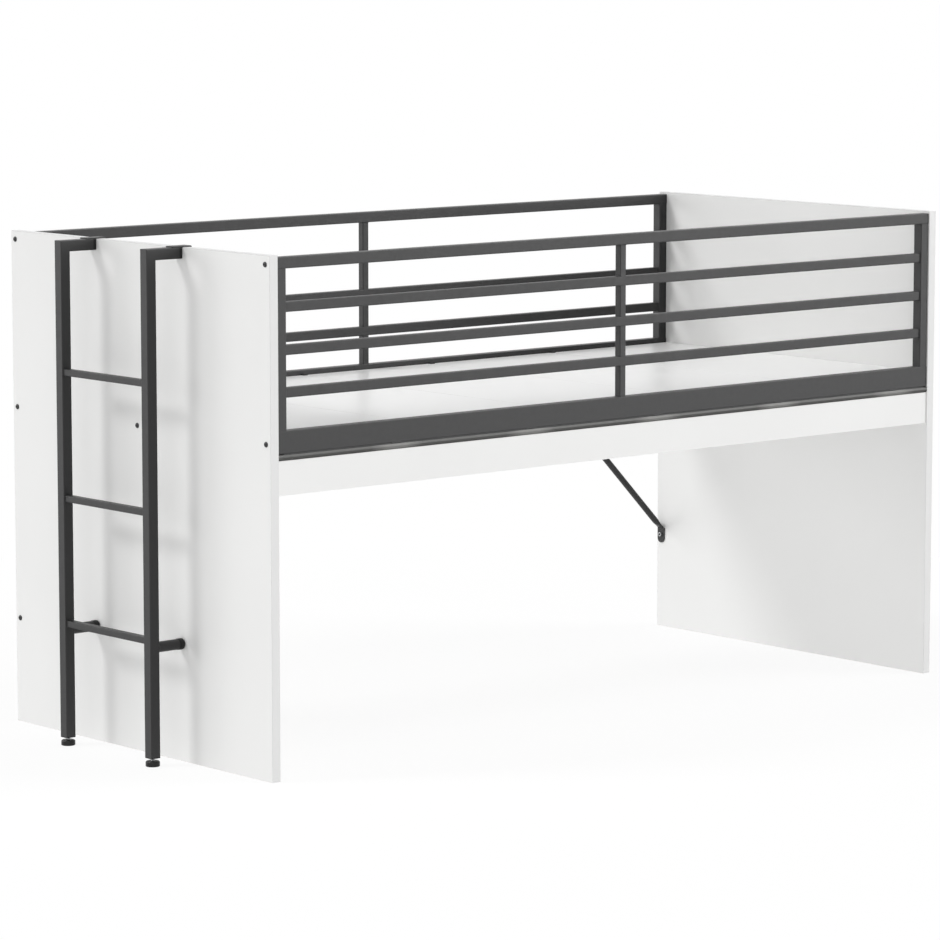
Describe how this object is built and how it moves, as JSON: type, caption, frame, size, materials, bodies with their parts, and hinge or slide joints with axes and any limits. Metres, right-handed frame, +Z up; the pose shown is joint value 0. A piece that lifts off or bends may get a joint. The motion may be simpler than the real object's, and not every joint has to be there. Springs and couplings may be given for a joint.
{
  "type": "mid sleeper bed",
  "caption": "Raised single bed on two board end panels, with tube guards on both sides, a boarded deck over open space and a hook-on ladder.",
  "frame": {"origin": "on the floor, under the middle of the whole object's box, ladder included", "axes": "+X along the bed away from the ladder, +Y from the fascia side to the braced side, +Z up"},
  "size_m": [2.1742, 0.96, 1.148],
  "materials": {
    "white_board": "particle board with satin white melamine",
    "white_edge": "satin white edge band",
    "white_deck": "white faced board",
    "black_metal": "fine matte powder coat",
    "black_bolt": "satin black",
    "black_plastic": "moulded, fine grain",
    "foot_plastic": "moulded, satin",
    "zinc_steel": "zinc plated",
    "beech": "plain fluted beech"
  },
  "bodies": {
    "bed": {"left_end_panel": "white_board", "right_end_panel": "white_board", "left_edge_band": "white_edge", "right_edge_band": "white_edge", "fascia_board": "white_board", "front_top_rail": "black_metal", "front_upper_rail": "black_metal", "front_middle_rail": "black_metal", "front_lower_rail": "black_metal", "front_bottom_rail": "black_metal", "front_left_post": "black_metal", "front_right_post": "black_metal", "front_middle_post": "black_metal", "front_support_tube": "black_metal", "back_top_rail": "black_metal", "back_upper_rail": "black_metal", "back_middle_rail": "black_metal", "back_lower_rail": "black_metal", "back_bottom_rail": "black_metal", "back_left_post": "black_metal", "back_right_post": "black_metal", "back_middle_post": "black_metal", "back_support_tube": "black_metal", "deck_board_1": "white_deck", "deck_board_2": "white_deck", "deck_board_3": "white_deck", "deck_board_4": "white_deck", "deck_board_5": "white_deck", "centre_beam": "black_metal", "front_deck_ledge": "black_metal", "back_deck_ledge": "black_metal", "left_brace": "black_metal", "right_brace": "black_metal", "fascia_brackets": "black_metal", "deck_clips": "black_plastic", "fascia_dowels": "beech", "fascia_screws": "zinc_steel", "left_panel_bolts": "black_bolt", "right_panel_bolts": "black_bolt", "tube_end_inserts": "zinc_steel", "brace_nuts": "zinc_steel", "brace_screws": "black_bolt"},
    "ladder": {"ladder_left_stile": "black_metal", "ladder_left_arm": "black_metal", "ladder_left_hook": "black_metal", "ladder_left_standoff": "black_metal", "ladder_right_stile": "black_metal", "ladder_right_arm": "black_metal", "ladder_right_hook": "black_metal", "ladder_right_standoff": "black_metal", "ladder_rung_1": "black_metal", "ladder_rung_2": "black_metal", "ladder_rung_3": "black_metal", "ladder_standoff_caps": "black_plastic", "ladder_arm_caps": "black_plastic", "ladder_foot_inserts": "black_plastic"},
    "left_levelling_foot": {"left_foot": "foot_plastic"},
    "left_levelling_stem": {"left_foot_stem": "zinc_steel"},
    "right_levelling_foot": {"right_foot": "foot_plastic"},
    "right_levelling_stem": {"right_foot_stem": "zinc_steel"}
  },
  "joints": [
    {"name": "ladder_lift", "type": "slide", "parent": "bed", "child": "ladder", "axis": [0, 0, 1], "range_m": [0, 0.08]},
    {"name": "left_foot_travel", "type": "slide", "parent": "ladder", "child": "left_levelling_foot", "axis": [0, 0, 1], "range_m": [-0.008, 0.005]},
    {"name": "left_foot_turn", "type": "hinge", "parent": "left_levelling_foot", "child": "left_levelling_stem", "pos_m": [-1.0711, 0.16, 0.01], "axis": [0, 0, 1], "range_deg": [-2300, 1435]},
    {"name": "right_foot_travel", "type": "slide", "parent": "ladder", "child": "right_levelling_foot", "axis": [0, 0, 1], "range_m": [-0.008, 0.005]},
    {"name": "right_foot_turn", "type": "hinge", "parent": "right_levelling_foot", "child": "right_levelling_stem", "pos_m": [-1.0711, -0.16, 0.01], "axis": [0, 0, 1], "range_deg": [-2300, 1435]}
  ],
  "couplings": [
    {"joint": "left_foot_travel", "follows": "left_foot_turn", "m_per_rad": 0.00019894},
    {"joint": "right_foot_travel", "follows": "right_foot_turn", "m_per_rad": 0.00019894}
  ]
}
